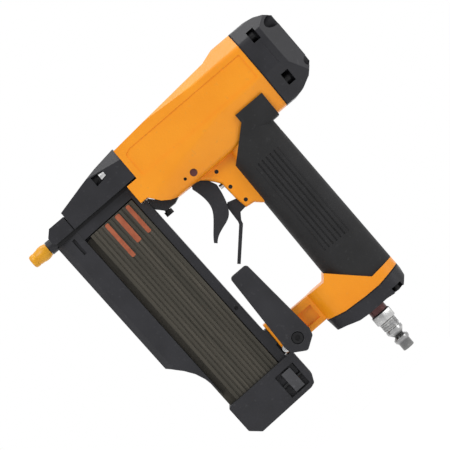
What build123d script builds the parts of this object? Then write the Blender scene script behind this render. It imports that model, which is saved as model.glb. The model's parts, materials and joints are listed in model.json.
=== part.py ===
"""Pneumatic pin nailer with a two-stage trigger, built as separate pieces.

Millimetres, +Z up. The nose points towards -X and the handle points down.
The origin is the tip of the air plug. Y = 0 is the plane the fasteners are fed and driven in.
Every piece is one node; the magazine is drawn upright and then tilted with the feed path.
"""

import math
import os

from build123d import *

# --- drive line -------------------------------------------------------------
DRIVE_Z = 182.0           # height of the drive axis
BORE_R = 12.5             # cylinder sleeve bore
SLEEVE_WALL = 1.5
SLEEVE_FRONT = -53.0
SLEEVE_REAR = 36.0
COLLAR_R = 15.5           # front collar of the sleeve, sealed in the housing
CHAMBER_R = 16.5          # air reservoir around the sleeve
PISTON_REAR = 35.0
PISTON_LENGTH = 8.0
BLADE_TIP = -70.0         # driver blade tip with the piston at rest
BLADE_W = 1.0
BLADE_H = 2.0
RUN_FIT = 0.05            # radial clearance of a running fit

# --- housing ----------------------------------------------------------------
NOSE_JOINT = -57.5        # front face of the barrel
CAP_JOINT = 37.2          # rear face of the barrel
BARREL_TOP = 208.5
BARREL_BOTTOM = 155.3
BARREL_HALF = 23.5        # half width at the rear
BARREL_FRONT_HALF = 19.0
WEB_HALF = 9.5            # half width of the trigger web
CORE_HALF = 15.0          # half width of the handle under the grip
GRIP_WALL = 2.4
FOOT_HALF = 19.0
ARM_HALF = 9.0
GASKET = 0.8

# --- rear cap ---------------------------------------------------------------
CAP_REAR = 64.3
SCREW_SEAT = 45.5
CAP_SCREWS = ((17.0, 198.5), (-17.0, 198.5), (14.5, 167.0), (-14.5, 167.0))

# --- triggers ---------------------------------------------------------------
TRIGGER_PIVOT = (-30.0, 160.5)
LEVER_PIVOT = (-17.0, 128.8)
VALVE_Z = 144.0
VALVE_PIN = (-19.0, 140.3)
TRIGGER_HALF = 5.0

# --- handle base ------------------------------------------------------------
PLUG_X = 0.0
TUBE_X = 14.0             # exhaust tube inside the handle
TUBE_R = 4.5
CAP_HALF = 19.5

# --- magazine (upright, before the tilt) ------------------------------------
TILT = 1.4                # degrees the feed path leans from square
TILT_AT = (-84.0, 0.0, 178.0)
MAG_TOP = 178.5
MAG_BOTTOM = 43.5
COVER_LEFT = -100.5
COVER_RIGHT = -68.1
RAIL_RIGHT = -62.0
RAIL_HALF = 9.0
COVER_FACE = -10.2
PIN_LEFT = -101.8         # ends of the fastener channel
PIN_RIGHT = -70.5
ROD_XY = (-84.5, -4.2)
BLOCK_HALF = 12.5

# --- belt hook --------------------------------------------------------------
HOOK_AT = (-46.5, 48.0)
HOOK_FACE = -23.0


# --- small helpers ----------------------------------------------------------
def face_of(points, corner=0.0):
    sketch = make_face(Polyline(*points, close=True))
    if corner:
        sketch = fillet(sketch.vertices(), corner)
    return sketch


def side_prism(sketch, y_low, y_high):
    """Extrude a side-view sketch (x, z) between two y values."""
    plane = Plane((0, y_high, 0), x_dir=(1, 0, 0), z_dir=(0, -1, 0))
    return extrude(plane * sketch, y_high - y_low)


def side(points, y_low, y_high, corner=0.0):
    return side_prism(face_of(points, corner), y_low, y_high)


def cross(points, x_low, x_high, corner=0.0):
    """Extrude a cross-section (y, z) between two x values."""
    plane = Plane((x_low, 0, 0), x_dir=(0, 1, 0), z_dir=(1, 0, 0))
    return extrude(plane * face_of(points, corner), x_high - x_low)


def plan(points, z_low, z_high, corner=0.0):
    """Extrude a plan view (x, y) between two z values."""
    return extrude(Pos(0, 0, z_low) * face_of(points, corner), z_high - z_low)


def block(x, y, z):
    """Box from three (low, high) pairs."""
    centre = [(a + b) / 2 for a, b in (x, y, z)]
    size = [b - a for a, b in (x, y, z)]
    return Pos(*centre) * Box(*size)


def rod(start, axis, radius, length):
    low = (Align.CENTER, Align.CENTER, Align.MIN)
    return Plane(start, z_dir=axis) * Cylinder(radius, length, align=low)


def rod_x(x_low, x_high, radius, y=0.0, z=DRIVE_Z):
    return rod((x_low, y, z), (1, 0, 0), radius, x_high - x_low)


def rod_y(y_low, y_high, radius, x, z):
    return rod((x, y_low, z), (0, 1, 0), radius, y_high - y_low)


def rod_z(z_low, z_high, radius, x, y=0.0):
    return rod((x, y, z_low), (0, 0, 1), radius, z_high - z_low)


def mirrored(points):
    """Close a right-hand profile (y, z) with its mirror image."""
    return list(points) + [(-y, z) for y, z in reversed(points)]


def tilted(shape):
    """Lean a magazine piece over with the feed path."""
    x, y, z = TILT_AT
    return Pos(x, y, z) * Rot(0, -TILT, 0) * Pos(-x, -y, -z) * shape


def coil(start, axis, radius, wire, length, turns, leg=0.0):
    """Spring whose wire stays inside start .. start + length, with two straight legs if leg is set."""
    pitch = (length - 2 * wire) / turns
    plane = Plane(start, z_dir=axis)
    path = Helix(pitch, length - 2 * wire, radius)
    ring = Plane(path @ 0, z_dir=path % 0) * Circle(wire)
    body = sweep(ring, path=path)
    if leg:
        low = (Align.CENTER, Align.CENTER, Align.MIN)
        body += Plane(path @ 0, z_dir=-(path % 0)) * Cylinder(wire, leg, align=low)
        body += Plane(path @ 1, z_dir=path % 1) * Cylinder(wire, leg, align=low)
    return plane * (Pos(0, 0, wire) * body)


def save(shape, name):
    export_step(shape, os.path.join("parts", name + ".step"))


def rounded(shape, half, x_limit, radius):
    """Round the two outlines at y = +-half, up to x_limit."""
    rims = shape.edges().filter_by(lambda e: abs(abs(e.center().Y) - half) < 0.01)
    return fillet(rims.filter_by(lambda e: e.center().X < x_limit), radius)


# --- housing shapes ---------------------------------------------------------
def barrel_section(grow=0.0):
    half = BARREL_HALF + grow
    profile = [
        (half - 9.5, BARREL_TOP),
        (half, 199.0),
        (half, 177.0),
        (half - 8.5, BARREL_BOTTOM - grow),
    ]
    return cross(mirrored(profile), -80.0, 80.0, 4.5)


def barrel_plan(grow=0.0):
    front = BARREL_FRONT_HALF + grow
    half = BARREL_HALF + grow
    points = [
        (-66.0, front - 1.0),
        (8.0, half),
        (80.0, half),
        (80.0, -half),
        (8.0, -half),
        (-66.0, -front + 1.0),
    ]
    return plan(points, 120.0, 220.0)


def barrel_body():
    outline = [
        (NOSE_JOINT, 179.5),
        (NOSE_JOINT, 200.3),
        (15.0, 205.5),
        (24.0, BARREL_TOP),
        (CAP_JOINT, BARREL_TOP),
        (CAP_JOINT, BARREL_BOTTOM),
        (-37.0, BARREL_BOTTOM),
        (-46.0, 155.6),
        (-50.5, 157.2),
        (-55.0, 160.4),
        (-60.0, 167.0),
        (-65.0, 167.0),
        (-65.0, 179.5),
    ]
    return side(outline, -30.0, 30.0) & barrel_section() & barrel_plan()


def web_body():
    outline = [
        (-34.0, 160.0),
        (-33.0, 155.3),
        (-30.0, 154.5),
        (-27.0, 152.0),
        (-24.0, 148.5),
        (-21.6, 145.0),
        (-21.0, 134.0),
        (-19.6, 125.2),
        (-14.0, 124.4),
        (-10.5, 121.0),
        (-5.0, 118.0),
        (0.0, 118.0),
        (0.0, 160.0),
    ]
    return rounded(side(outline, -WEB_HALF, WEB_HALF), WEB_HALF, -3.0, 2.0)


def rounded_rect(x_low, x_high, half, corner, z):
    centre = (x_low + x_high) / 2
    return Pos(centre, 0, z) * RectangleRounded(x_high - x_low, 2 * half, corner)


def handle_body(grow):
    """Handle column; grow is the thickness added all round for the grip."""
    low = rounded_rect(-8.5 - grow, 23.6 + grow, CORE_HALF + grow, 9.0 + grow, 43.0)
    high = rounded_rect(-6.6 - grow, 23.2 + grow, CORE_HALF + grow, 9.0 + grow, 160.0)
    return loft([low, high])


def seam(drop):
    """Underside of the handle foot from front to rear, lowered by drop."""
    points = [(-26.5, 44.0), (-15.0, 41.5), (0.0, 40.5), (10.0, 40.5), (26.0, 43.0)]
    return [(x, z - drop) for x, z in points]


def foot_plan(half, z_low, z_high):
    return extrude(rounded_rect(-26.5, 26.0, half, 13.0, z_low), z_high - z_low)


def foot_body():
    outline = seam(0.0) + [(26.0, 48.2), (9.6, 46.8), (-10.6, 66.5), (-14.0, 62.5), (-26.5, 62.5)]
    return side(outline, -30.0, 30.0) & foot_plan(FOOT_HALF, 30.0, 80.0)


def arm_body():
    outline = [
        (-57.4, 44.3),
        (-57.4, 66.0),
        (-54.0, 66.0),
        (-54.0, 62.5),
        (-15.0, 62.5),
        (-15.0, 44.6),
    ]
    return rounded(side(outline, -ARM_HALF, ARM_HALF), ARM_HALF, -16.0, 1.5)


def housing_shell():
    """Outside of the casting, before anything is bored out of it."""
    return barrel_body() + web_body() + handle_body(0.0) + foot_body() + arm_body()


def trigger_slot():
    outline = [
        (-40.5, 150.0),
        (-40.5, 157.0),
        (-35.5, 163.9),
        (-24.0, 163.9),
        (-21.3, 158.0),
        (-21.3, 146.0),
        (-30.0, 146.0),
    ]
    return side(outline, -TRIGGER_HALF - 0.5, TRIGGER_HALF + 0.5)


def lever_slot():
    outline = [(-24.0, 121.0), (-24.0, 137.0), (-18.0, 134.5), (-12.5, 130.0), (-12.5, 121.0)]
    return side(outline, -2.7, 5.2)


def air_ways():
    """Reservoir, handle chamber, exhaust passage and the openings between them."""
    front = rod_x(SLEEVE_FRONT, -44.0, COLLAR_R)
    reservoir = rod_x(-44.5, CAP_JOINT + 1, CHAMBER_R)
    blade_hole = rod_x(-70.0, -50.0, 6.5)
    chamber = extrude(rounded_rect(-4.0, 19.0, 10.5, 6.0, 30.0), 120.0)
    neck = block((-3.0, 8.0), (-8.0, 8.0), (149.0, 168.0))
    tube_seat = rod_z(149.0, 157.0, TUBE_R, TUBE_X)
    riser = rod_z(156.0, 160.3, 3.0, TUBE_X)
    duct = rod_x(TUBE_X, CAP_JOINT + 1, 3.0, 0.0, 160.3)
    valve = rod_x(-23.0, -3.0, 4.8, 0.0, VALVE_Z)
    return front + reservoir + blade_hole + chamber + neck + tube_seat + riser + duct + valve


def side_panel():
    """Shallow flat recess along both flanks of the barrel."""
    outline = [(-53.5, 178.5), (-53.5, 194.0), (-50.0, 195.5), (34.5, 195.5), (34.5, 178.5)]
    return side(outline, -30.0, 30.0, 1.0) - barrel_plan(-0.5)


def cross_pins():
    """(name, x, z, radius) of the pins pressed across the trigger web."""
    return [
        ("trigger_pin", *TRIGGER_PIVOT, 1.5),
        ("valve_pin", *VALVE_PIN, 1.25),
        ("lever_pin", *LEVER_PIVOT, 1.25),
    ]


def make_housing():
    body = housing_shell() - air_ways() - trigger_slot() - lever_slot() - side_panel()
    for _, x, z, radius in cross_pins():
        body -= rod_y(-30.0, 30.0, radius, x, z)
    body -= rod_y(-30.0, -12.0, 2.3, *TRIGGER_PIVOT)
    for x, z, radius in extra_pins():
        body -= rod_y(-20.0, 20.0, radius, x, z)
    for y, z in CAP_SCREWS:
        body -= rod_x(24.0, 40.0, 2.0, y, z)
    for y in (-13.0, 13.0):
        body -= rod_x(-60.0, -46.0, 1.75, y, 194.0)
    for x, y, top in foot_screws():
        body -= rod_z(38.0, top, 1.6, x, y)
    body -= rod_z(150.0, 165.0, 1.5, -56.2)
    body -= block((-60.0, -49.5), (-3.1, 3.1), (40.0, 63.0))
    for x, z in bracket_holes():
        body -= rod_y(-10.0, 10.0, 1.5, x, z)
        body -= rod_y(-10.0, -7.2, 2.6, x, z)
    body -= rod_y(-12.0, 0.0, 2.0, *HOOK_AT)
    for y in (-ARM_HALF, ARM_HALF):
        body -= block((-38.0, -28.5), (y - 2.0, y + 2.0), (48.0, 57.5))
    return body


def extra_pins():
    """Small spring pins: x, z, radius. They stop the trigger and locate the valve."""
    return [(-19.5, 152.3, 1.25), (-36.2, 160.8, 1.0)]


def foot_screws():
    """x, y and depth of the end cap screws."""
    return [(17.0, 13.0, 47.5), (17.0, -13.0, 47.5), (-19.0, 8.0, 52.0), (-19.0, -8.0, 52.0)]


def bracket_holes():
    return [(-55.4, 47.0), (-53.0, 57.5)]


# --- grip -------------------------------------------------------------------
def make_grip_sleeve():
    upper = [
        (-9.4, 147.0),
        (10.0, 164.5),
        (10.0, 170.0),
        (30.2, 170.0),
        (30.2, 153.0),
        (25.2, 146.8),
    ]
    lower = [(-30.0, 85.3), (-30.0, 147.0)] + upper + [(40.0, 146.8), (40.0, 48.1), (26.0, 48.1), (9.8, 46.6)]
    column = handle_body(GRIP_WALL) & side(lower, -30.0, 30.0)
    cheeks = side(upper, -30.0, 30.0) & barrel_section(1.4) & barrel_plan(1.4)
    sleeve = column + cheeks - housing_shell()
    for index in range(9):
        x = -4.0 + 3.0 * index
        for y in (-CORE_HALF - GRIP_WALL, CORE_HALF + GRIP_WALL):
            sleeve -= block((x - 0.5, x + 0.5), (y - 0.5, y + 0.5), (76.0, 140.0))
    return sleeve


# --- rear cap ---------------------------------------------------------------
def make_rear_cap_gasket():
    skin = side([(37.2, 150.0), (38.0, 150.0), (38.0, 210.0), (37.2, 210.0)], -30.0, 30.0)
    plate = skin & barrel_section(-0.3) - rod_x(30.0, 40.0, CHAMBER_R)
    for y, z in CAP_SCREWS:
        plate -= rod_x(30.0, 40.0, 2.2, y, z)
    return plate - rod_x(30.0, 40.0, 3.0, 0.0, 160.3)


def make_rear_cap():
    front = CAP_JOINT + GASKET
    outline = [
        (front, BARREL_TOP),
        (48.0, BARREL_TOP),
        (55.0, 207.0),
        (60.0, 204.5),
        (CAP_REAR, 201.0),
        (CAP_REAR, 166.5),
        (58.0, 160.0),
        (51.0, 156.5),
        (45.0, BARREL_BOTTOM),
        (front, BARREL_BOTTOM),
    ]
    taper = [
        (front, 24.2),
        (49.0, 24.2),
        (49.6, 23.4),
        (54.0, 23.0),
        (CAP_REAR, 16.0),
        (CAP_REAR, -16.0),
        (54.0, -23.0),
        (49.6, -23.4),
        (49.0, -24.2),
        (front, -24.2),
    ]
    body = side(outline, -30.0, 30.0) & barrel_section(0.7) & plan(taper, 140.0, 220.0)
    body -= rod_x(front - 1, 58.0, CHAMBER_R)
    body += rod_x(50.0, 58.5, 5.0)
    body -= rod_x(front - 1, 44.0, 3.0, 0.0, 160.3)
    body -= block((41.0, 46.0), (-3.0, 3.0), (160.3, 168.0))
    for y, z in CAP_SCREWS:
        body -= rod_x(front - 1, 50.0, 2.2, y, z)
        body -= rod_x(SCREW_SEAT, 70.0, 3.9, y, z)
        outward = sorted((y, math.copysign(30.0, y)))
        body -= block((SCREW_SEAT, SCREW_SEAT + 5.2), outward, (z - 3.9, z + 3.9))
    return body


def make_cap_screws():
    screws = []
    for y, z in CAP_SCREWS:
        screw = rod_x(25.0, SCREW_SEAT, 2.0, y, z) + rod_x(SCREW_SEAT, SCREW_SEAT + 3.5, 3.3, y, z)
        screws.append(screw - hex_socket(y, z))
    return Compound(children=screws)


def hex_socket(y, z):
    plane = Plane((SCREW_SEAT + 1.7, y, z), x_dir=(0, 1, 0), z_dir=(1, 0, 0))
    return extrude(plane * RegularPolygon(1.6, 6), 3.0)


def make_head_valve():
    body = rod_x(SLEEVE_REAR + 0.3, 44.5, CHAMBER_R - 0.4)
    body -= rod_x(40.0, 45.0, 11.5)
    return body - tube_x(41.5, 43.3, CHAMBER_R, 15.0)


def tube_x(x_low, x_high, outer, inner, y=0.0, z=DRIVE_Z):
    return rod_x(x_low, x_high, outer, y, z) - rod_x(x_low - 1, x_high + 1, inner, y, z)


def make_head_valve_ring():
    return tube_x(41.6, 43.2, CHAMBER_R - RUN_FIT, 15.0)


def make_head_valve_spring():
    return coil((40.0, 0, DRIVE_Z), (1, 0, 0), 8.5, 0.6, 18.0, 5)


# --- cylinder and piston ----------------------------------------------------
def make_cylinder_sleeve():
    outer = BORE_R + SLEEVE_WALL
    body = rod_x(SLEEVE_FRONT, SLEEVE_REAR, outer)
    body += rod_x(SLEEVE_FRONT, -45.5, COLLAR_R)
    body += rod_x(31.0, SLEEVE_REAR - 1.5, CHAMBER_R)
    body -= rod_x(SLEEVE_FRONT - 1, SLEEVE_REAR + 1, BORE_R)
    for x in seal_positions():
        body -= tube_x(x - 0.8, x + 0.8, COLLAR_R + 1, outer)
    for index in range(8):
        angle = math.radians(45.0 * index)
        y = CHAMBER_R * math.cos(angle)
        z = DRIVE_Z + CHAMBER_R * math.sin(angle)
        body -= rod_x(30.0, SLEEVE_REAR, 2.2, y, z)
    for index in range(6):
        angle = math.radians(60.0 * index)
        direction = (0, math.cos(angle), math.sin(angle))
        body -= rod((-34.0, 0, DRIVE_Z), direction, 1.2, 20.0)
    return body


def seal_positions():
    return (-51.0, -47.6)


def make_cylinder_seals():
    outer = BORE_R + SLEEVE_WALL
    return Compound(children=[tube_x(x - 0.7, x + 0.7, COLLAR_R, outer) for x in seal_positions()])


def make_piston():
    front = PISTON_REAR - PISTON_LENGTH
    body = rod_x(front, PISTON_REAR, BORE_R - 0.4) + rod_x(front - 6.0, front, 5.0)
    body -= rod_x(PISTON_REAR - 1.5, PISTON_REAR + 1, 8.0)
    body -= tube_x(front + 2.5, front + 4.5, BORE_R, 10.6)
    return body - blade_box(front - 6.0, front + 3.0) - rod_y(-6.0, 6.0, 0.8, front - 3.0, DRIVE_Z)


def blade_box(x_low, x_high, gap=0.0):
    half_y = BLADE_W / 2 + gap
    half_z = BLADE_H / 2 + gap
    return block((x_low, x_high), (-half_y, half_y), (DRIVE_Z - half_z, DRIVE_Z + half_z))


def make_piston_ring():
    front = PISTON_REAR - PISTON_LENGTH
    return tube_x(front + 2.6, front + 4.4, BORE_R - RUN_FIT, 10.6)


def make_driver_blade():
    front = PISTON_REAR - PISTON_LENGTH
    return blade_box(BLADE_TIP, front + 3.0) - rod_y(-6.0, 6.0, 0.8, front - 3.0, DRIVE_Z)


def make_blade_pin():
    return rod_y(-4.9, 4.9, 0.8, PISTON_REAR - PISTON_LENGTH - 3.0, DRIVE_Z)


def make_bumper():
    body = rod_x(SLEEVE_FRONT, -46.0, BORE_R) + rod_x(-46.0, -40.0, BORE_R - 1.5)
    return body - rod_x(SLEEVE_FRONT - 1, -39.0, 6.2)


# --- trigger group ----------------------------------------------------------
def make_trigger():
    x, z = TRIGGER_PIVOT
    front = Spline((-37.0, 153.6), (-35.2, 146.0), (-35.6, 138.0), (-39.2, 132.0), (-47.8, 121.4))
    tip = Line((-47.8, 121.4), (-46.3, 119.9))
    rear = Spline((-46.3, 119.9), (-38.0, 124.8), (-31.0, 127.8), (-27.0, 134.0), (-24.2, 146.6))
    top = Polyline((-24.2, 146.6), (-26.6, 152.0), (x + 3, z), (x - 3, z), (-37.0, 153.6))
    body = side_prism(make_face(front + tip + rear + top), -TRIGGER_HALF, TRIGGER_HALF)
    body += rod_y(-TRIGGER_HALF, TRIGGER_HALF, 3.0, x, z)
    body -= rod_y(-10.0, 10.0, 1.5 + RUN_FIT, x, z)
    hollow = [(-33.0, 139.0), (-35.0, 129.0), (-36.0, 118.0), (-20.0, 118.0), (-20.0, 139.0)]
    return body - side(hollow, -3.0, 3.0)


def make_trigger_pin():
    x, z = TRIGGER_PIVOT
    return rod_y(-15.6, 15.0, 1.5, x, z) + rod_y(-16.0, -13.0, 2.3, x, z)


def make_valve_pin():
    return rod_y(-9.3, 9.3, 1.25, *VALVE_PIN)


def make_lever_pin():
    return rod_y(-9.3, 9.3, 1.25, *LEVER_PIVOT)


def make_spring_pins():
    (x1, z1, r1), (x2, z2, r2) = extra_pins()
    return Compound(children=[rod_y(-9.3, 9.3, r1, x1, z1), rod_y(-15.5, -6.0, r2, x2, z2)])


def make_safety_lever():
    x, z = LEVER_PIVOT
    wedge = [(-28.2, 133.0), (-26.2, 134.6), (x, z + 2.9), (x, z - 2.9), (-24.0, 125.2), (-27.0, 121.0), (-28.9, 121.0)]
    blade = [(-28.6, 122.6), (-26.6, 122.0), (-27.4, 119.0), (-43.9, 101.8), (-45.4, 103.2), (-29.4, 120.2)]
    body = side(wedge, -2.2, 2.2) + side(blade, -4.5, 4.5) + rod_y(-2.2, 2.2, 2.9, x, z)
    return body - rod_y(-6.0, 6.0, 1.25 + RUN_FIT, x, z)


def make_lever_spring():
    x, z = LEVER_PIVOT
    return coil((x, 2.5, z), (0, 1, 0), 2.1, 0.3, 2.5, 3.25, 3.5)


def make_valve_body():
    body = rod_x(-20.8, 1.0, 4.8, 0.0, VALVE_Z)
    body -= rod_x(-22.0, -7.0, 1.5 + RUN_FIT, 0.0, VALVE_Z)
    body -= rod_x(-8.4, 2.0, 3.3, 0.0, VALVE_Z)
    body -= rod_y(-6.0, 6.0, 1.25, *VALVE_PIN)
    for x in valve_seals():
        body -= tube_x(x - 0.7, x + 0.7, 6.0, 3.9, 0.0, VALVE_Z)
    return body


def valve_seals():
    return (-14.0, -9.0)


def make_valve_seals():
    return Compound(children=[tube_x(x - 0.6, x + 0.6, 4.8, 3.9, 0.0, VALVE_Z) for x in valve_seals()])


def make_valve_stem():
    return rod_x(-23.9, -8.0, 1.5, 0.0, VALVE_Z) + rod_x(-8.0, -6.0, 2.8, 0.0, VALVE_Z)


def make_valve_spring():
    return coil((-6.0, 0, VALVE_Z), (1, 0, 0), 2.3, 0.25, 5.0, 4)


def make_valve_cap():
    return tube_x(-1.0, 1.0, 3.3, 1.0, 0.0, VALVE_Z)


# --- handle base ------------------------------------------------------------
def make_end_cap_gasket():
    band = side(seam(0.0) + list(reversed(seam(GASKET))), -30.0, 30.0)
    plate = band & foot_plan(FOOT_HALF - 0.3, 30.0, 60.0)
    plate -= extrude(rounded_rect(-4.0, 19.0, 10.5, 6.0, 30.0), 30.0)
    for x, y, _ in foot_screws():
        plate -= rod_z(30.0, 60.0, 1.8, x, y)
    return plate


def make_end_cap():
    outline = seam(GASKET) + [
        (26.0, 40.0),
        (25.0, 35.0),
        (21.0, 31.2),
        (17.0, 30.2),
        (8.0, 31.4),
        (-5.0, 31.2),
        (-12.0, 31.8),
        (-20.0, 34.4),
        (-25.6, 35.6),
    ]
    body = side(outline, -30.0, 30.0) & foot_plan(CAP_HALF, 20.0, 60.0)
    cavity = extrude(rounded_rect(-10.0, 20.0, 9.5, 6.0, 34.5), 20.0)
    cavity -= rod_z(20.0, 60.0, 8.0, PLUG_X)
    cavity -= rod_z(20.0, 60.0, TUBE_R + 2.5, TUBE_X)
    body -= cavity
    body -= rod_z(20.0, 60.0, 5.6, PLUG_X)
    body -= rod_z(37.0, 60.0, TUBE_R, TUBE_X)
    for y in (-4.0, 0.0, 4.0):
        body -= block((12.5, 30.0), (y - 1.4, y + 1.4), (33.6, 37.5))
    for x, y, _ in foot_screws():
        seat = 34.0 if x > 0 else 38.2
        body -= rod_z(20.0, 60.0, 1.8, x, y)
        body -= rod_z(20.0, seat, 3.3, x, y)
    for y in (-20.0, 20.0):
        body -= block((13.7, 20.3), (min(y, y * 0.65), max(y, y * 0.65)), (20.0, 34.0))
    return body


def make_end_cap_screws():
    screws = []
    for x, y, top in foot_screws():
        seat = 34.0 if x > 0 else 38.2
        screw = rod_z(seat, top, 1.6, x, y) + rod_z(seat - 2.6, seat, 2.8, x, y)
        screws.append(screw - Pos(x, y, seat - 2.8) * extrude(RegularPolygon(1.4, 6), 1.8))
    return Compound(children=screws)


def make_exhaust_tube():
    return rod_z(37.0, 157.0, TUBE_R, TUBE_X) - rod_z(36.0, 158.0, 3.5, TUBE_X)


def make_inlet_bushing():
    return rod_z(27.0, 39.4, 5.6, PLUG_X) - rod_z(26.0, 43.0, 3.2, PLUG_X)


def make_air_plug():
    profile = [
        (2.0, 0.0),
        (3.8, 0.0),
        (3.8, 5.2),
        (4.8, 6.0),
        (4.8, 8.0),
        (3.0, 9.2),
        (3.0, 9.8),
        (5.4, 12.4),
        (5.4, 20.5),
        (3.2, 20.5),
        (3.2, 34.0),
        (2.0, 34.0),
    ]
    section = Plane.XZ * make_face(Polyline(*profile, close=True))
    nut = Pos(PLUG_X, 0, 20.5) * extrude(RegularPolygon(7.4, 6), 6.5) - rod_z(20.0, 28.0, 2.0, PLUG_X)
    return Pos(PLUG_X, 0, 0) * revolve(section, Axis.Z) + nut


# --- nose -------------------------------------------------------------------
def make_driver_guide():
    outline = [
        (-118.4, MAG_TOP),
        (-118.4, 186.2),
        (NOSE_JOINT, 186.2),
        (NOSE_JOINT, 179.5),
        (-65.3, 179.5),
        (-65.3, MAG_TOP),
    ]
    body = side(outline, -RAIL_HALF, RAIL_HALF) + rod_x(NOSE_JOINT, -53.6, 6.5)
    body -= blade_box(-130.0, -50.0, 0.1)
    for y in (-6.0, 6.0):
        body -= rod_z(183.6, 190.0, 1.5, -109.5, y)
    return body - block((PIN_LEFT, PIN_RIGHT), (-0.5, 0.5), (170.0, DRIVE_Z)) - guide_screw_holes(1.5)


def make_nose_cover():
    outline = [
        (-104.6, 180.6),
        (-104.6, 193.0),
        (-85.0, 197.5),
        (-73.0, 200.0),
        (NOSE_JOINT, 202.0),
        (NOSE_JOINT, 180.6),
    ]
    taper = [
        (-104.6, 11.5),
        (-80.0, 14.0),
        (NOSE_JOINT, 18.5),
        (NOSE_JOINT, -18.5),
        (-80.0, -14.0),
        (-104.6, -11.5),
    ]
    profile = mirrored([(9.0, 203.0), (18.6, 194.0), (18.6, 179.0)])
    body = side(outline, -20.0, 20.0) & plan(taper, 170.0, 210.0) & cross(profile, -110.0, -50.0)
    body -= block((-110.0, -50.0), (-RAIL_HALF, RAIL_HALF), (170.0, 186.2))
    for y in (-13.0, 13.0):
        body -= rod_x(-75.0, -50.0, 1.75, y, 194.0)
        body -= rod_x(-78.0, -70.0, 3.4, y, 194.0)
    return body


def make_nose_screws():
    screws = []
    for y in (-13.0, 13.0):
        screw = rod_x(-70.0, -47.0, 1.75, y, 194.0) + rod_x(-73.5, -70.0, 2.8, y, 194.0)
        plane = Plane((-74.0, y, 194.0), x_dir=(0, 1, 0), z_dir=(1, 0, 0))
        screws.append(screw - extrude(plane * RegularPolygon(1.5, 6), 2.2))
    return Compound(children=screws)


def make_tip_holder():
    outline = [
        (-118.4, 180.6),
        (-120.0, 182.0),
        (-120.0, 186.5),
        (-116.0, 190.5),
        (-105.2, 190.5),
        (-105.2, 180.6),
    ]
    body = side(outline, -11.0, 11.0) - block((-118.4, -104.0), (-RAIL_HALF, RAIL_HALF), (170.0, 186.2))
    body += rod_x(-124.0, -118.4, 4.4)
    body += rod_x(-131.0, -124.0, 3.0)
    body -= rod_x(-132.0, -118.0, 1.4)
    for y in (-6.0, 6.0):
        body -= rod_z(186.0, 191.0, 1.5, -109.5, y)
        body -= rod_z(188.2, 191.0, 2.7, -109.5, y)
    return body


def make_tip_screws():
    screws = []
    for y in (-6.0, 6.0):
        screw = rod_z(183.6, 188.2, 1.5, -109.5, y) + rod_z(188.2, 190.2, 2.5, -109.5, y)
        screws.append(screw - block((-112.0, -107.0), (y - 0.4, y + 0.4), (189.4, 191.0)))
    return Compound(children=screws)


def make_no_mar_tip():
    profile = [
        (1.6, -137.0),
        (3.4, -137.0),
        (4.1, -136.0),
        (4.3, -131.0),
        (4.8, -129.5),
        (4.8, -126.5),
        (4.2, -125.0),
        (4.2, -124.3),
        (3.05, -124.3),
        (3.05, -131.3),
        (1.6, -131.3),
    ]
    sketch = make_face(Polyline(*[(x, r) for r, x in profile], close=True))
    turned = revolve(Plane.XZ * sketch, Axis.X)
    return Pos(0, 0, DRIVE_Z) * turned


# --- magazine ---------------------------------------------------------------
def under_nose(shape):
    """Trim a tilted piece level with the underside of the driver guide."""
    return shape & block((-160.0, 0.0), (-40.0, 40.0), (-40.0, MAG_TOP))


def make_magazine_rail():
    right = RAIL_RIGHT
    body = block((-104.5, right), (0.45, RAIL_HALF), (MAG_BOTTOM, 182.0))
    body += block((-67.6, right), (-RAIL_HALF, RAIL_HALF), (MAG_BOTTOM, 182.0))
    body += block((-104.5, right), (-RAIL_HALF, RAIL_HALF), (172.5, 182.0))
    body -= block((PIN_LEFT, PIN_RIGHT), (-0.5, 0.5), (170.0, 185.0))
    body -= block((-70.0, -65.8), (-4.3, -2.2), (40.0, 172.0))
    body += block((-67.4, -62.2), (-8.9, -7.2), (31.5, MAG_BOTTOM + 1))
    body -= block((-68.0, -64.6), (-10.0, -7.0), (33.6, 36.6))
    body -= rod_y(-10.0, -5.0, 1.2, -64.9, 83.5)
    for x in (-98.0, -75.0):
        body -= block((x, x + 9.0), (4.5, 12.0), (52.0, 160.0))
    leaning = under_nose(tilted(body))
    leaning -= block((-65.3, -40.0), (-40.0, 40.0), (166.6, 190.0))
    return leaning - guide_screw_holes(1.5)


def guide_screw_positions():
    return [(-99.0, 5.0), (-71.0, 5.0)]


def guide_screw_holes(radius):
    return Compound(children=[rod_z(160.0, 182.2, radius, x, y) for x, y in guide_screw_positions()])


def make_magazine_guard():
    outline = [
        (-120.0, 182.0),
        (-120.0, 84.5),
        (-117.3, 81.8),
        (-112.5, 76.3),
        (-108.7, 70.5),
        (-106.4, 64.5),
        (-105.2, 58.0),
        (-104.5, 50.0),
        (-104.5, 182.0),
    ]
    wedge = [(-120.0, 3.2), (-116.0, 7.0), (-104.5, RAIL_HALF), (-104.5, -RAIL_HALF), (-116.0, -7.0), (-120.0, -3.2)]
    body = side(outline, -20.0, 20.0) & plan(wedge, 30.0, 200.0)
    body -= block((-106.5, -104.0), (-2.0, 0.45), (40.0, 171.8))
    body -= block((-110.5, -108.6), (-20.0, -6.0), (166.0, 177.0))
    return under_nose(tilted(body)) - rod_x(-125.0, -118.4, 4.5)


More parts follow.
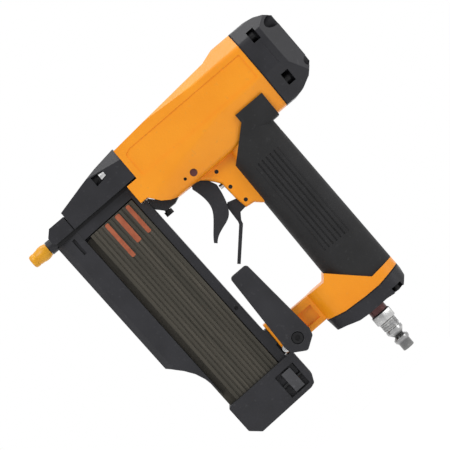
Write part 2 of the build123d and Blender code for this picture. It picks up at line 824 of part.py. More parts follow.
def make_magazine_cover():
    body = block((COVER_LEFT, COVER_RIGHT), (COVER_FACE, -0.2), (43.0, 171.8))
    body -= block((COVER_LEFT + 1.5, COVER_RIGHT - 1.5), (-8.2, 1.0), (42.0, 173.0))
    body += block((COVER_RIGHT, -66.2), (-4.0, -2.5), (43.0, 171.0))
    body += block((-106.0, COVER_LEFT + 1.5), (-1.6, -0.2), (43.0, 171.0))
    for index in range(11):
        x = COVER_LEFT + 2.6 + 2.72 * index
        body -= block((x - 0.4, x + 0.4), (COVER_FACE - 1, COVER_FACE + 0.7), (40.0, 175.0))
    return tilted(body)


def make_magazine_end_block():
    outline = [
        (-107.5, 43.0),
        (-57.5, 43.0),
        (-57.5, 25.5),
        (-60.0, 20.6),
        (-63.0, 19.6),
        (-101.5, 19.4),
        (-107.5, 25.0),
    ]
    body = side(outline, -BLOCK_HALF, BLOCK_HALF, 1.5)
    body -= block((-75.5, -61.7), (-20.0, -9.0), (22.5, 38.0))
    body -= block((-68.0, -61.7), (-9.6, -6.7), (31.0, 44.0))
    body -= rod_y(-10.0, -5.5, 2.3, -69.6, 26.0)
    body -= rod((-78.0, -10.6, 30.0), (1, 0, 0), 1.0, 18.0)
    body -= rod_z(30.0, 44.0, 1.2, *ROD_XY)
    return tilted(body)


def make_latch():
    body = block((-71.4, -64.8), (-12.9, -10.9), (23.6, 36.8))
    body += block((-67.7, -65.1), (-11.5, -8.0), (34.1, 36.1))
    body += rod((-71.4, -10.6, 30.0), (1, 0, 0), 1.6, 6.6)
    body -= rod((-80.0, -10.6, 30.0), (1, 0, 0), 1.0 + RUN_FIT, 20.0)
    return tilted(body)


def make_latch_pin():
    return tilted(rod((-77.5, -10.6, 30.0), (1, 0, 0), 1.0, 17.0))


def make_latch_spring():
    return tilted(coil((-69.6, -10.6, 26.0), (0, 1, 0), 1.6, 0.3, 5.0, 4))


def make_pusher():
    body = block((-98.4, -70.2), (-7.6, 0.1), (158.0, 170.0))
    body -= block((-94.0, -75.0), (-8.0, -6.4), (156.0, 172.0))
    body -= rod_z(150.0, 175.0, 1.2 + RUN_FIT, *ROD_XY)
    return tilted(body)


def make_pusher_rod():
    return tilted(rod_z(30.0, 171.0, 1.2, *ROD_XY))


def make_pusher_spring():
    x, y = ROD_XY
    return tilted(coil((x, y, 43.2), (0, 0, 1), 2.1, 0.35, 114.5, 30))


def make_stop_screw():
    body = rod_y(-8.2, -5.0, 1.2, -64.9, 83.5)
    return tilted(body - block((-66.5, -63.0), (-9.0, -7.6), (83.2, 83.8)))


def make_guide_screws():
    return guide_screw_holes(1.5) - block((-150.0, 0.0), (-40.0, 40.0), (100.0, 164.0))


def make_front_bracket():
    outline = [
        (-61.4, 159.0),
        (-61.4, 166.4),
        (-60.2, 166.4),
        (-55.0, 160.4),
        (-50.5, 157.2),
        (-46.0, 155.6),
        (-50.0, 154.0),
        (-57.0, 154.2),
    ]
    return side(outline, -8.0, 8.0) - rod_z(140.0, 170.0, 1.5, -56.2)


def make_bracket_bolt():
    head = Pos(-56.2, 0, 150.8) * extrude(RegularPolygon(2.6, 6), 3.0)
    return head + rod_z(151.0, 164.5, 1.5, -56.2)


def make_rear_bracket():
    plate = [(-60.0, 52.6), (-59.6, 63.2), (-57.5, 63.2), (-57.5, 52.6)]
    tongue = [(-60.0, 44.5), (-60.0, 62.4), (-50.0, 62.4), (-50.0, 44.6)]
    body = side(plate, -ARM_HALF, ARM_HALF) + side(tongue, -3.0, 3.0)
    body -= tilted(block((-104.5, RAIL_RIGHT), (-RAIL_HALF, RAIL_HALF), (40.0, 182.0)))
    for x, z in bracket_holes():
        body -= rod_y(-10.0, 10.0, 1.5, x, z)
    return body


def make_bracket_screws():
    screws = []
    for x, z in bracket_holes():
        screw = rod_y(-7.2, 8.8, 1.5, x, z) + rod_y(-9.0, -7.2, 2.5, x, z)
        screws.append(screw - block((x - 2.0, x + 2.0), (-9.5, -8.3), (z - 0.4, z + 0.4)))
    return Compound(children=screws)


# --- belt hook --------------------------------------------------------------
def make_belt_hook():
    x, z = HOOK_AT
    outline = [
        (-54.0, 100.0),
        (-41.5, 100.0),
        (-37.5, 48.0),
        (-38.6, 43.6),
        (x, 38.4),
        (-55.0, 43.6),
        (-56.0, 48.0),
    ]
    paddle = side_prism(fillet(face_of(outline).vertices(), 2.2), HOOK_FACE, HOOK_FACE + 3.2)
    body = paddle + rod_y(HOOK_FACE + 3.0, -10.3, 7.0, x, z)
    body = fillet(body.edges().filter_by(lambda e: abs(e.center().Y - HOOK_FACE) < 0.01), 0.8)
    body -= rod_y(-30.0, 0.0, 2.0 + RUN_FIT, x, z)
    return body - rod_y(-30.0, HOOK_FACE + 2.6, 3.6, x, z)


def make_hook_screw():
    x, z = HOOK_AT
    body = rod_y(HOOK_FACE + 2.3, -1.0, 2.0, x, z) + rod_y(HOOK_FACE + 0.2, HOOK_FACE + 2.3, 3.3, x, z)
    plane = Plane((x, HOOK_FACE, z), x_dir=(1, 0, 0), z_dir=(0, 1, 0))
    return body - extrude(plane * RegularPolygon(1.7, 6), 1.6)


def make_hook_washer():
    x, z = HOOK_AT
    return rod_y(-10.0, -ARM_HALF, 6.0, x, z) - rod_y(-12.0, 0.0, 2.0, x, z)


PIECES = {
    "housing": make_housing,
    "grip_sleeve": make_grip_sleeve,
    "rear_cap_gasket": make_rear_cap_gasket,
    "rear_cap": make_rear_cap,
    "rear_cap_screws": make_cap_screws,
    "head_valve": make_head_valve,
    "head_valve_ring": make_head_valve_ring,
    "head_valve_spring": make_head_valve_spring,
    "cylinder_sleeve": make_cylinder_sleeve,
    "cylinder_seals": make_cylinder_seals,
    "piston": make_piston,
    "piston_ring": make_piston_ring,
    "driver_blade": make_driver_blade,
    "blade_pin": make_blade_pin,
    "bumper": make_bumper,
    "trigger": make_trigger,
    "trigger_pin": make_trigger_pin,
    "valve_pin": make_valve_pin,
    "spring_pins": make_spring_pins,
    "safety_lever": make_safety_lever,
    "safety_lever_pin": make_lever_pin,
    "safety_lever_spring": make_lever_spring,
    "trigger_valve_body": make_valve_body,
    "trigger_valve_seals": make_valve_seals,
    "trigger_valve_stem": make_valve_stem,
    "trigger_valve_spring": make_valve_spring,
    "trigger_valve_cap": make_valve_cap,
    "end_cap_gasket": make_end_cap_gasket,
    "end_cap": make_end_cap,
    "end_cap_screws": make_end_cap_screws,
    "exhaust_tube": make_exhaust_tube,
    "inlet_bushing": make_inlet_bushing,
    "air_plug": make_air_plug,
    "driver_guide": make_driver_guide,
    "nose_cover": make_nose_cover,
    "nose_screws": make_nose_screws,
    "tip_holder": make_tip_holder,
    "tip_screws": make_tip_screws,
    "no_mar_tip": make_no_mar_tip,
    "magazine_rail": make_magazine_rail,
    "magazine_guard": make_magazine_guard,
    "magazine_cover": make_magazine_cover,
    "magazine_end_block": make_magazine_end_block,
    "magazine_latch": make_latch,
    "latch_pin": make_latch_pin,
    "latch_spring": make_latch_spring,
    "pusher": make_pusher,
    "pusher_rod": make_pusher_rod,
    "pusher_spring": make_pusher_spring,
    "stop_screw": make_stop_screw,
    "guide_screws": make_guide_screws,
    "front_bracket": make_front_bracket,
    "bracket_bolt": make_bracket_bolt,
    "rear_bracket": make_rear_bracket,
    "bracket_screws": make_bracket_screws,
    "belt_hook": make_belt_hook,
    "hook_screw": make_hook_screw,
    "hook_washer": make_hook_washer,
}


os.makedirs("parts", exist_ok=True)
for name, make in PIECES.items():
    save(make(), name)
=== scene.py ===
# %% [markdown]
# # A pneumatic pin nailer
# The tool drives thin headless pins with air. Its cast body, rubber grip, black nose and ribbed
# magazine already exist as exact CAD solids. This lesson dresses them: it softens their edges,
# adds the pieces a CAD model leaves out, mixes a finish for every surface, and lights the result.

import json
import math

import bmesh
import bpy
from mathutils import Matrix, Vector

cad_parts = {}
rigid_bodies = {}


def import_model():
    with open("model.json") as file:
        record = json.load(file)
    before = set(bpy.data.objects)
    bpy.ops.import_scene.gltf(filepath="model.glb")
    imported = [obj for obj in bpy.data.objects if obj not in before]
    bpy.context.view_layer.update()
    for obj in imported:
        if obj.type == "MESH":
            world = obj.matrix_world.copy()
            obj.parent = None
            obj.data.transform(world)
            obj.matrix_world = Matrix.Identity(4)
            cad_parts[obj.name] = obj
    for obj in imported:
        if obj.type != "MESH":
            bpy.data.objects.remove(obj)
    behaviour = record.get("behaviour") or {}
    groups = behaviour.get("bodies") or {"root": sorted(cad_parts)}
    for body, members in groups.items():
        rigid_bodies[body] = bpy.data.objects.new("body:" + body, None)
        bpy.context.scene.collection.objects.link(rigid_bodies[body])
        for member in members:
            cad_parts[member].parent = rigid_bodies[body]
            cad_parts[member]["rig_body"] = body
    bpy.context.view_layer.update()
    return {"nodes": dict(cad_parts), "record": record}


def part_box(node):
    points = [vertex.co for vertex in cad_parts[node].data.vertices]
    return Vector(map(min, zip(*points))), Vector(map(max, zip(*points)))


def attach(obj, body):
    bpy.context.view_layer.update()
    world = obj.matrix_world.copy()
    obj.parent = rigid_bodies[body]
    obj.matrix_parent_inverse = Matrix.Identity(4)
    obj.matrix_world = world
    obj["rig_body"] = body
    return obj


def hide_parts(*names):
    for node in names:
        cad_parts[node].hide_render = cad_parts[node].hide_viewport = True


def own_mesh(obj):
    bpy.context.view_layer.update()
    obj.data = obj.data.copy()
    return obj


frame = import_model()
nodes = frame["nodes"]

# %% [markdown]
# The tool's places and sizes are in millimetres, and MM turns them into metres. The floor, the
# lamps and the camera are in metres. The magazine leans slightly from square, so a helper turns
# upright magazine places into real ones.

# %% Places and lengths
MM = 0.001
DRIVE_Z = 182.0
TIP_FRONT = -137.0
MAGAZINE_TILT = math.radians(1.4)
TILT_CENTRE = Vector((-84.0, 0.0, 178.0)) * MM
COVER_FACE = -10.26
MERGE_DISTANCE = 0.002 * MM


def leaning():
    """The turn that leans an upright magazine piece over with the feed path."""
    turn = Matrix.Rotation(-MAGAZINE_TILT, 4, "Y")
    return Matrix.Translation(TILT_CENTRE) @ turn @ Matrix.Translation(-TILT_CENTRE)


print("magazine leans", round(math.degrees(MAGAZINE_TILT), 2), "degrees")

# %% [markdown]
# Modelling tools act on everything selected, and loading leaves the CAD pieces selected.
# These helpers clear the selection, make one object active, and finish a piece: its place goes into
# its mesh, it gets a finish, and it rides on the body it belongs to.

# %% Modelling helpers
finishes = {}


def pick_only(piece):
    bpy.ops.object.select_all(action="DESELECT")
    piece.select_set(True)
    bpy.context.view_layer.objects.active = piece


def settle(piece, name, body, finish, smooth=35.0):
    """Name a modelled piece, put its place into its mesh, give it a finish and a body."""
    piece.name = name
    pick_only(piece)
    bpy.ops.object.transform_apply(location=True, rotation=True, scale=True)
    bpy.ops.object.shade_smooth_by_angle(angle=math.radians(smooth))
    piece.data.materials.clear()
    piece.data.materials.append(finishes[finish])
    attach(piece, body)


def soften(piece, width, limit=32.0, segments=2):
    """Round every edge sharper than limit degrees."""
    pick_only(piece)
    bevel = piece.modifiers.new("eased edges", "BEVEL")
    bevel.width = width
    bevel.segments = segments
    bevel.limit_method = "ANGLE"
    bevel.angle_limit = math.radians(limit)
    bevel.use_clamp_overlap = True
    bevel.miter_outer = "MITER_ARC"
    bpy.ops.object.modifier_apply(modifier=bevel.name)


def flatten_shading(piece):
    """Let each large flat face set the shading at its corners, so that it looks flat."""
    pick_only(piece)
    weighted = piece.modifiers.new("flat faces", "WEIGHTED_NORMAL")
    weighted.weight = 100
    weighted.keep_sharp = True
    bpy.ops.object.modifier_apply(modifier=weighted.name)


print("helpers ready")

# %% [markdown]
# ## Finishes
# Nearly every surface of the tool is a moulded or painted one: a base colour that drifts a
# little, a sheen that drifts with it, and a fine grain that the fingers would feel. One recipe
# with different numbers makes them all. The pattern is read from object coordinates, so it
# stays put when a piece moves.

# %% The recipe for a surface
DRIFT_SCALE = 60.0
SCUFF_SCALE = 420.0
SCUFF_DETAIL = 6.0
SCUFF_EDGES = (0.62, 0.72)
SCUFF_LIFT = 1.25
BUMP_SHARE = 0.4
COAT_ROUGHNESS = 0.15


def noise(tree, vector, scale, detail=3.0):
    """A noise pattern read at vector."""
    pattern = tree.nodes.new("ShaderNodeTexNoise")
    pattern.inputs["Scale"].default_value = scale
    pattern.inputs["Detail"].default_value = detail
    tree.links.new(vector, pattern.inputs["Vector"])
    return pattern.outputs["Fac"]


def ramp(tree, factor, low, high):
    """A colour ramp from low = (position, colour) to high = (position, colour)."""
    band = tree.nodes.new("ShaderNodeValToRGB")
    for stop, (position, colour) in zip(band.color_ramp.elements, (low, high)):
        stop.position = position
        stop.color = (*colour, 1.0)
    tree.links.new(factor, band.inputs["Fac"])
    return band.outputs["Color"]


def surface(name, dark, light, rough, grain, depth, **more):
    """dark and light bound the colour drift, rough bounds the sheen, grain is its size in mm."""
    finish = bpy.data.materials.new(name)
    finish.use_nodes = True
    tree = finish.node_tree
    shader = tree.nodes["Principled BSDF"]
    place = tree.nodes.new("ShaderNodeTexCoord")
    mapping = tree.nodes.new("ShaderNodeMapping")
    mapping.inputs["Scale"].default_value = more.get("stretch", (1, 1, 1))
    tree.links.new(place.outputs["Object"], mapping.inputs["Vector"])
    spot = mapping.outputs["Vector"]

    clouds = noise(tree, spot, more.get("drift", DRIFT_SCALE))
    drift = ramp(tree, clouds, (0.3, dark), (0.7, light))
    specks = noise(tree, spot, SCUFF_SCALE, SCUFF_DETAIL)
    scuffs = ramp(tree, specks, (SCUFF_EDGES[0], (0, 0, 0)), (SCUFF_EDGES[1], (1, 1, 1)))
    worn = tree.nodes.new("ShaderNodeMix")
    worn.data_type = "RGBA"
    lifted = [min(1.0, SCUFF_LIFT * channel) for channel in light]
    worn.inputs["B"].default_value = (*more.get("scuff", lifted), 1.0)
    tree.links.new(scuffs, worn.inputs["Factor"])
    tree.links.new(drift, worn.inputs["A"])
    tree.links.new(worn.outputs["Result"], shader.inputs["Base Color"])

    texture = noise(tree, spot, 1.0 / (grain * MM))
    sheen = tree.nodes.new("ShaderNodeMapRange")
    sheen.inputs["To Min"].default_value = rough[0]
    sheen.inputs["To Max"].default_value = rough[1]
    tree.links.new(texture, sheen.inputs["Value"])
    tree.links.new(sheen.outputs["Result"], shader.inputs["Roughness"])
    bump = tree.nodes.new("ShaderNodeBump")
    bump.inputs["Strength"].default_value = depth
    bump.inputs["Distance"].default_value = grain * MM * BUMP_SHARE
    tree.links.new(texture, bump.inputs["Height"])
    tree.links.new(bump.outputs["Normal"], shader.inputs["Normal"])

    shader.inputs["Metallic"].default_value = more.get("metallic", 0.0)
    shader.inputs["Specular IOR Level"].default_value = more.get("gloss", 0.5)
    shader.inputs["Coat Weight"].default_value = more.get("coat", 0.0)
    shader.inputs["Coat Roughness"].default_value = COAT_ROUGHNESS
    finishes[name] = finish


print("one recipe for every surface")

# %% [markdown]
# The casting wears a warm yellow-orange enamel with a faint orange-peel surface. The black
# parts differ more in grain than in colour: a satin coated casting, a spark-textured plastic
# and a soft matt rubber. Black that is handled a lot picks up fine grey scuffs.

# %% Paint, plastic and rubber
surface("painted_casting", (0.93, 0.300, 0.006), (1.0, 0.355, 0.012), (0.34, 0.46), 1.4, 0.14,
        coat=0.12, gloss=0.3, drift=32.0, scuff=(0.90, 0.330, 0.022))
surface("black_casting", (0.0115, 0.0115, 0.014), (0.020, 0.020, 0.024), (0.36, 0.5), 0.6, 0.16,
        gloss=0.27, scuff=(0.030, 0.030, 0.034))
surface("black_plastic", (0.013, 0.013, 0.0155), (0.022, 0.022, 0.026), (0.44, 0.6), 0.5, 0.4,
        gloss=0.28, scuff=(0.033, 0.033, 0.037))
surface("black_rubber", (0.0125, 0.0125, 0.013), (0.0195, 0.0195, 0.0205), (0.58, 0.76), 0.45, 0.5,
        gloss=0.24, scuff=(0.026, 0.026, 0.027))
surface("seal_rubber", (0.010, 0.010, 0.010), (0.016, 0.016, 0.016), (0.5, 0.65), 0.4, 0.2,
        gloss=0.3)
surface("gasket_fibre", (0.022, 0.022, 0.024), (0.034, 0.034, 0.037), (0.7, 0.85), 0.4, 0.3,
        gloss=0.2)
surface("yellow_rubber", (0.80, 0.35, 0.009), (0.86, 0.41, 0.011), (0.36, 0.46), 0.9, 0.05,
        gloss=0.4, drift=90.0)
surface("grey_latch", (0.042, 0.042, 0.046), (0.064, 0.064, 0.070), (0.4, 0.55), 0.5, 0.3,
        gloss=0.35)
surface("red_brown", (0.065, 0.022, 0.022), (0.12, 0.040, 0.038), (0.28, 0.42), 0.5, 0.15,
        metallic=0.5)
surface("marker_orange", (0.34, 0.085, 0.040), (0.44, 0.125, 0.058), (0.5, 0.65), 0.6, 0.2,
        gloss=0.3, drift=300.0, scuff=(0.20, 0.08, 0.05))
print("paint, plastic and rubber mixed")

# %% [markdown]
# Metals show how they were worked. Turned and ground steel has fine lines along one direction,
# so its pattern is squeezed along that axis. The ribbed cover is anodised: a dark brown-grey
# with lengthwise drawing lines.

# %% Metals
surface("plated_steel", (0.30, 0.30, 0.305), (0.56, 0.56, 0.555), (0.16, 0.34), 0.6, 0.15,
        metallic=1.0, drift=160.0, stretch=(1, 1, 3), scuff=(0.62, 0.62, 0.61))
surface("plug_steel", (0.25, 0.25, 0.255), (0.42, 0.42, 0.415), (0.18, 0.36), 0.6, 0.15,
        metallic=1.0, drift=120.0, stretch=(1, 1, 2), scuff=(0.50, 0.50, 0.49))
surface("steel", (0.34, 0.34, 0.35), (0.54, 0.54, 0.54), (0.24, 0.42), 0.5, 0.18,
        metallic=1.0, drift=140.0, stretch=(0.15, 1, 3))
surface("dark_steel", (0.005, 0.005, 0.006), (0.011, 0.011, 0.012), (0.34, 0.5), 0.5, 0.2,
        gloss=0.2, drift=140.0)
surface("aluminium", (0.52, 0.53, 0.54), (0.70, 0.71, 0.72), (0.28, 0.44), 0.5, 0.15,
        metallic=1.0, drift=120.0, stretch=(4, 1, 1))
surface("ribbed_cover", (0.034, 0.031, 0.023), (0.066, 0.059, 0.046), (0.36, 0.54), 0.6, 0.2,
        metallic=0.3, gloss=0.35, drift=240.0, stretch=(1, 1, 0.05))
print(len(finishes), "finishes mixed")

# %% [markdown]
# The plug's colour is darkened in its necks and grooves as painted shade, which its bright metal
# doesn't show on its own against the white surroundings. The darkening is found by the distance
# from the plug's axis.

# %% Painted shade in the plug's grooves
def painted_shade(finish, lit_radius, shaded_radius, darkest):
    """Darken a finish towards the vertical axis, between two radii in mm, as painted shade in the
    necks and grooves.
    """
    tree = finish.node_tree
    shader = tree.nodes["Principled BSDF"]
    colour = shader.inputs["Base Color"].links[0].from_socket
    place = tree.nodes.new("ShaderNodeTexCoord")
    flat = tree.nodes.new("ShaderNodeMapping")
    flat.inputs["Scale"].default_value = (1.0, 1.0, 0.0)
    tree.links.new(place.outputs["Object"], flat.inputs["Vector"])
    distance = tree.nodes.new("ShaderNodeVectorMath")
    distance.operation = "LENGTH"
    tree.links.new(flat.outputs["Vector"], distance.inputs[0])
    share = tree.nodes.new("ShaderNodeMapRange")
    share.inputs["From Min"].default_value = shaded_radius * MM
    share.inputs["From Max"].default_value = lit_radius * MM
    share.inputs["To Min"].default_value = darkest
    tree.links.new(distance.outputs["Value"], share.inputs["Value"])
    shaded_colour = tree.nodes.new("ShaderNodeVectorMath")
    shaded_colour.operation = "SCALE"
    tree.links.new(colour, shaded_colour.inputs[0])
    tree.links.new(share.outputs["Result"], shaded_colour.inputs["Scale"])
    tree.links.new(shaded_colour.outputs["Vector"], shader.inputs["Base Color"])


# painted shade: the plug's colour darkens towards its axis, in its necks and grooves
painted_shade(finishes["plug_steel"], lit_radius=5.3, shaded_radius=3.1, darkest=0.12)
print("grime in the plug's grooves")

# %% [markdown]
# Every CAD piece names its finish in the record. Assigning the finish to the piece's own slot keeps
# the shape and changes only how it looks. The latch pin gets the near-black dark steel instead, as
# painted shade in its recess, so that it doesn't glint there.

# %% Finish the CAD pieces
slot_of = {part["node"]: part["material_slot"] for part in frame["record"]["subparts"]}
for name, node in nodes.items():
    node.data.materials.clear()
    # painted shade: the latch pin is coloured near-black because its recess lies in shade
    finish = "dark_steel" if name == "latch_pin" else slot_of[name]
    node.data.materials.append(finishes[finish])
print("finished", len(slot_of), "CAD pieces")

# %% [markdown]
# ## Eased edges
# A CAD solid meets the light with knife edges. Cast, moulded and stamped parts never do, so a
# copy of each visible solid is merged, its flat areas are joined into single faces, and its
# edges are rounded by the radius that part would have.

# %% Ease the edges of the shells
FLAT_ANGLE = math.radians(0.1)


def merged_copy(name):
    """A copy of a CAD piece whose loose triangles are joined at their corners."""
    source = nodes[name]
    piece = source.copy()
    piece.data = source.data.copy()
    for key in [key for key in piece.keys() if key.startswith("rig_")]:
        del piece[key]
    piece.parent = None
    bpy.context.scene.collection.objects.link(piece)
    pick_only(piece)
    bpy.ops.object.mode_set(mode="EDIT")
    bpy.ops.mesh.select_all(action="SELECT")
    bpy.ops.mesh.remove_doubles(threshold=MERGE_DISTANCE)
    bpy.ops.object.mode_set(mode="OBJECT")
    return piece


def eased(name, width):
    """A rounded copy of a CAD piece that stands in for it."""
    piece = merged_copy(name)
    bpy.ops.object.mode_set(mode="EDIT")
    bpy.ops.mesh.select_all(action="SELECT")
    bpy.ops.mesh.dissolve_limited(angle_limit=FLAT_ANGLE)
    bpy.ops.object.mode_set(mode="OBJECT")
    soften(piece, width)
    settle(piece, name + "_shell", nodes[name]["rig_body"], slot_of[name])
    flatten_shading(piece)
    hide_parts(name)
    print(piece.name, len(piece.data.polygons), "faces")


EASED = {
    "housing": 0.6,
    "rear_cap": 0.7,
    "end_cap": 0.7,
    "nose_cover": 0.5,
    "tip_holder": 0.4,
    "magazine_guard": 0.6,
    "magazine_end_block": 0.8,
    "magazine_cover": 0.2,
    "magazine_rail": 0.3,
    "magazine_latch": 0.3,
    "belt_hook": 0.5,
    "trigger": 0.9,
    "safety_lever": 0.4,
    "front_bracket": 0.3,
}
for name, radius in EASED.items():
    eased(name, radius * MM)

# %% [markdown]
# ## Turned pieces
# The air plug and the rubber tip come off a lathe and out of a round mould, so both are made
# the way a lathe works: a ring is extruded along the axis, step by step, and scaled to the
# radius it has there. Faces around the plug's collar are then inset to cut its knurl.

# %% Turn a piece from a ring
WALL_SHARE = 0.96


def turned(profile, sides):
    """Extrude a ring through (radius, height) steps in mm, round the wall and back to the start."""
    radius, height = profile[0]
    bpy.ops.object.select_all(action="DESELECT")
    bpy.ops.mesh.primitive_circle_add(
        vertices=sides, radius=radius * MM, location=(0.0, 0.0, height * MM)
    )
    piece = bpy.context.active_object
    bpy.ops.object.transform_apply(location=True)
    bpy.ops.object.mode_set(mode="EDIT")
    bpy.ops.mesh.select_mode(type="VERT")
    bpy.ops.mesh.select_all(action="SELECT")
    for next_radius, next_height in profile[1:] + profile[:1]:
        step = (0.0, 0.0, (next_height - height) * MM)
        bpy.ops.mesh.extrude_region_move(TRANSFORM_OT_translate={"value": step})
        grow = next_radius / radius
        middle = (0.0, 0.0, next_height * MM)
        bpy.ops.transform.resize(value=(grow, grow, 1.0), center_override=middle)
        radius, height = next_radius, next_height
    bpy.ops.mesh.select_all(action="SELECT")
    bpy.ops.mesh.remove_doubles(threshold=MERGE_DISTANCE)
    bpy.ops.mesh.normals_make_consistent(inside=False)
    bpy.ops.object.mode_set(mode="OBJECT")
    return piece


def knurl(piece, low, high, radius, margin, depth):
    """Inset each outer face between two heights, so that a grip pattern is left standing."""
    pick_only(piece)
    bpy.ops.object.mode_set(mode="EDIT")
    bpy.ops.mesh.select_mode(type="FACE")
    bpy.ops.mesh.select_all(action="DESELECT")
    mesh = bmesh.from_edit_mesh(piece.data)
    for face in mesh.faces:
        centre = face.calc_center_median()
        outer = math.hypot(centre.x, centre.y) > radius * WALL_SHARE * MM
        if outer and low * MM < centre.z < high * MM:
            face.select_set(True)
    bmesh.update_edit_mesh(piece.data)
    bpy.ops.mesh.inset(thickness=margin * MM, depth=-depth * MM, use_individual=True)
    bpy.ops.object.mode_set(mode="OBJECT")
    print(piece.name, "has", len(piece.data.polygons), "faces after its knurl")


# %% [markdown]
# The plug's bore comes first, then its sealing end, the latch flange and neck of a
# quarter-inch quick plug, and a knurled body. Its hexagonal nut is a separate ring with
# chamfered corners.

# %% Air plug
plug = turned(
    [(2.0, 33.5), (2.0, 0.5), (2.5, 0.0), (3.4, 0.0), (3.8, 0.4), (3.8, 4.9),
     (4.8, 6.0), (4.8, 8.0), (3.0, 9.3), (3.0, 9.8), (5.1, 12.2), (5.4, 12.7),
     (5.4, 14.6), (5.0, 14.9), (5.0, 15.6), (5.4, 15.9), (5.4, 17.4), (5.4, 18.9),
     (5.4, 20.3), (3.2, 20.5), (3.2, 33.5)],
    48,
)
knurl(plug, low=16.0, high=20.2, radius=5.4, margin=0.1, depth=0.28)
soften(plug, 0.08 * MM, 40.0, 1)
settle(plug, "air_plug_turned", "tool", "plug_steel", 30.0)

nut = turned([(3.3, 26.95), (3.3, 20.5), (6.5, 20.5), (7.3, 21.1), (7.3, 26.3), (6.5, 26.95)], 6)
soften(nut, 0.25 * MM, 30.0, 2)
settle(nut, "air_plug_nut", "tool", "plug_steel", 30.0)
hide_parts("air_plug")
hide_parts("air_plug")
print("plug", len(plug.data.polygons), "faces")

# %% [markdown]
# The no-mar tip is a soft rubber sleeve that keeps the steel nose off the work. It swells to a
# ring the fingers can pull, and its mouth is rounded with a small bore for the pin.

# %% No-mar tip
tip = turned(
    [(1.6, 5.7), (1.6, 0.5), (1.9, 0.1), (2.6, 0.0), (3.4, 0.25), (3.95, 0.9),
     (4.15, 2.0), (4.15, 3.2), (3.95, 3.5), (3.95, 3.9), (4.2, 4.2), (4.3, 5.9),
     (4.65, 7.1), (4.8, 8.0), (4.8, 10.0), (4.65, 10.8), (4.25, 12.0), (4.2, 12.6),
     (3.1, 12.7), (3.1, 5.7)],
    40,
)
tip.rotation_euler = (0.0, math.radians(90.0), 0.0)
tip.location = Vector((TIP_FRONT, 0.0, DRIVE_Z)) * MM
settle(tip, "no_mar_tip_sleeve", "no_mar_tip", "yellow_rubber", 50.0)
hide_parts("no_mar_tip")
print("tip", len(tip.data.polygons), "faces")

# %% [markdown]
# ## Springs
# A coil spring gets shorter as its neighbour moves. Each spring here is a plain merged copy of its
# coil that keeps its length; the table gives each spring's joint, the axis it is squeezed along,
# the end that stays still and the joint's travel, which the copies don't use.

# %% Springs
rod_foot = leaning() @ (Vector((-84.5, -4.2, 43.4)) * MM)
feed = leaning().to_3x3() @ Vector((0.0, 0.0, 1.0))
SPRINGS = {
    "head_valve_spring": ("head_valve_lift", (1.0, 0.0, 0.0), (0.058, 0.0, 0.182), 3.0),
    "trigger_valve_spring": ("valve_stem_slide", (1.0, 0.0, 0.0), (-0.001, 0.0, 0.144), 2.0),
    "latch_spring": ("latch_press", (0.0, 1.0, 0.0), (-0.068, -0.0056, 0.026), 1.1),
    "pusher_spring": ("pusher_feed", tuple(feed), tuple(rod_foot), 90.0),
}
for name, (joint, axis, anchor, travel) in SPRINGS.items():
    low, high = (Vector(corner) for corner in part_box(name))
    spring = merged_copy(name)
    settle(spring, name + "_coil", nodes[name]["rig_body"], "steel", 60.0)
    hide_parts(name)
    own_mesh(spring)

# %% [markdown]
# Three plain coloured bars lie along the ribs of the magazine cover. Each is a thin plate
# with rounded corners that leans with the cover and slides with it. The table gives each
# bar's place across the cover, its width, and the heights of its ends.

# %% Marker bars
BARS = ((-89.0, 2.7, 146.0, 171.0), (-80.8, 3.4, 150.5, 171.0), (-72.7, 2.7, 150.5, 171.0))
BAR_THICKNESS = 0.16
BAR_CORNER = 0.9
BAR_EDGE = 0.04


def marker_bar(index, x, width, low, high):
    """A rounded plate on the cover, modelled upright and then leaned over."""
    bpy.ops.object.select_all(action="DESELECT")
    place = Vector((x, COVER_FACE, (low + high) / 2.0)) * MM
    size = (width * MM, BAR_THICKNESS * MM, (high - low) * MM)
    bpy.ops.mesh.primitive_cube_add(size=1.0, location=place, scale=size)
    bar = bpy.context.active_object
    bpy.ops.object.transform_apply(location=True, rotation=True, scale=True)
    bpy.ops.object.mode_set(mode="EDIT")
    bpy.ops.mesh.select_mode(type="EDGE")
    bpy.ops.mesh.select_all(action="DESELECT")
    mesh = bmesh.from_edit_mesh(bar.data)
    for edge in mesh.edges:
        run = edge.verts[0].co - edge.verts[1].co
        edge.select_set(abs(run.y) > 0.9 * run.length)
    bmesh.update_edit_mesh(bar.data)
    bpy.ops.mesh.bevel(offset=BAR_CORNER * MM, segments=4)
    bpy.ops.object.mode_set(mode="OBJECT")
    soften(bar, BAR_EDGE * MM)
    bar.matrix_world = leaning()
    settle(bar, "marker_bar_" + str(index), "sliding_magazine", "marker_orange")


for index, (x, width, low, high) in enumerate(BARS, 1):
    marker_bar(index, x, width, low, high)
print(len(BARS), "marker bars")

# %% [markdown]
# ## Stage, light and camera
# The tool stands clear of the floor, which lies low enough for the magazine to slide open.
# The floor and the world look white to the camera and to reflections, while the light that
# falls on the tool stays plain. A large key lamp above and in front shapes the barrel.

# %% Floor
FLOOR_PLACE = (-0.036, 0.0, -0.088)
FLOOR_RADIUS = 0.9
FLOOR_GLOW = 0.62


def seen_rays(tree):
    """1 for rays from the camera, a reflection or a clear surface, otherwise 0."""
    rays = tree.nodes.new("ShaderNodeLightPath")
    total = rays.outputs["Is Camera Ray"]
    for kind in ("Is Glossy Ray", "Is Transmission Ray"):
        either = tree.nodes.new("ShaderNodeMath")
        either.operation = "MAXIMUM"
        tree.links.new(total, either.inputs[0])
        tree.links.new(rays.outputs[kind], either.inputs[1])
        total = either.outputs["Value"]
    return total


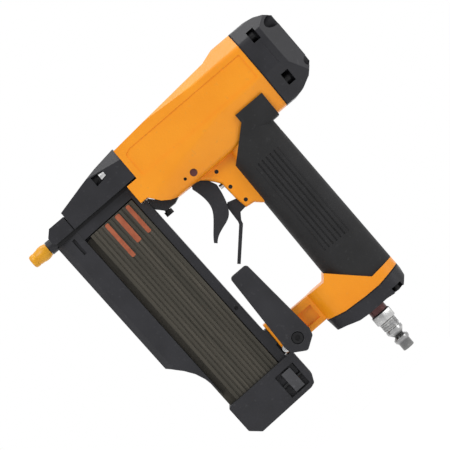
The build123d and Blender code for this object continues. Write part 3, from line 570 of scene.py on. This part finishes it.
bpy.ops.mesh.primitive_circle_add(
    vertices=96, radius=FLOOR_RADIUS, fill_type="NGON", location=FLOOR_PLACE
)
floor = bpy.context.active_object
floor.name = "studio_floor"
floor_paint = bpy.data.materials.new("studio_floor")
floor_paint.use_nodes = True
tree = floor_paint.node_tree
paper = tree.nodes["Principled BSDF"]
paper.inputs["Base Color"].default_value = (0.80, 0.80, 0.80, 1.0)
paper.inputs["Roughness"].default_value = 0.9
glow = tree.nodes.new("ShaderNodeEmission")
glow.inputs["Strength"].default_value = FLOOR_GLOW
both = tree.nodes.new("ShaderNodeAddShader")
choose = tree.nodes.new("ShaderNodeMixShader")
tree.links.new(paper.outputs["BSDF"], both.inputs[0])
tree.links.new(glow.outputs["Emission"], both.inputs[1])
tree.links.new(seen_rays(tree), choose.inputs["Fac"])
tree.links.new(paper.outputs["BSDF"], choose.inputs[1])
tree.links.new(both.outputs["Shader"], choose.inputs[2])
tree.links.new(choose.outputs["Shader"], tree.nodes["Material Output"].inputs["Surface"])
floor.data.materials.append(floor_paint)
print("floor ready")

# %% [markdown]
# The world is the second half of the backdrop. It lights the tool gently from all round, and
# it is only full white where it is looked at.

# %% World
LIT_LEVEL = 0.36
SEEN_LEVEL = 1.0
world = bpy.data.worlds.new("studio")
bpy.context.scene.world = world
world.use_nodes = True
tree = world.node_tree
backdrop = tree.nodes["Background"]
backdrop.inputs["Color"].default_value = (1.0, 1.0, 1.0, 1.0)
level = tree.nodes.new("ShaderNodeMapRange")
level.inputs["To Min"].default_value = LIT_LEVEL
level.inputs["To Max"].default_value = SEEN_LEVEL
tree.links.new(seen_rays(tree), level.inputs["Value"])
tree.links.new(level.outputs["Result"], backdrop.inputs["Strength"])
print("world ready")

# %% [markdown]
# Four area lamps stand round the tool: a key from above the nose side, a weak fill from the
# plug side, one overhead and one behind. Large lamps give the soft edges of a studio tent.

# %% Lamps
AIM = Vector((-0.036, 0.0, 0.115))
LAMPS = {
    "key_lamp": ((-0.55, -0.85, 1.15), 9.0, 0.6),
    "fill_lamp": ((1.10, -0.55, 0.35), 4.5, 0.6),
    "top_lamp": ((0.10, 0.15, 1.30), 5.0, 0.6),
    "back_lamp": ((0.5, 1.2, 0.8), 6.0, 0.8),
}
for name, (place, watts, size) in LAMPS.items():
    bpy.ops.object.light_add(type="AREA", location=place)
    light = bpy.context.active_object
    light.name = name
    light.data.energy = watts
    light.data.size = size
    light.rotation_euler = (AIM - Vector(place)).to_track_quat("-Z", "Y").to_euler()
print(len(LAMPS), "lamps")

# %% [markdown]
# The camera looks squarely at the side of the tool from far off, so that lines stay parallel,
# and is rolled until the nose points to the lower left.

# %% Camera
ROLL = math.radians(40.5)
CENTRE = Vector((-0.0360, 0.0, 0.1253))
SEEN_WIDTH = 0.2655
DISTANCE = 1.6
SENSOR = 36.0
bpy.ops.object.camera_add()
camera = bpy.context.active_object
right = Vector((math.cos(ROLL), 0.0, -math.sin(ROLL)))
up = Vector((math.sin(ROLL), 0.0, math.cos(ROLL)))
back = Vector((0.0, -1.0, 0.0))
turn = Matrix((right, up, back)).transposed().to_4x4()
camera.matrix_world = Matrix.Translation(CENTRE + back * DISTANCE) @ turn
camera.data.sensor_width = SENSOR
camera.data.lens = SENSOR * DISTANCE / SEEN_WIDTH
camera.data.clip_start = 0.01
scene = bpy.context.scene
scene.camera = camera
scene.view_settings.view_transform = "Standard"
print("lens", round(camera.data.lens, 1), "mm")

# %% [markdown]
# The visual model must keep the size of the CAD model, so both boxes are written down before
# the frame checks the pieces and closes the script.

# %% Finish
print("script finished")
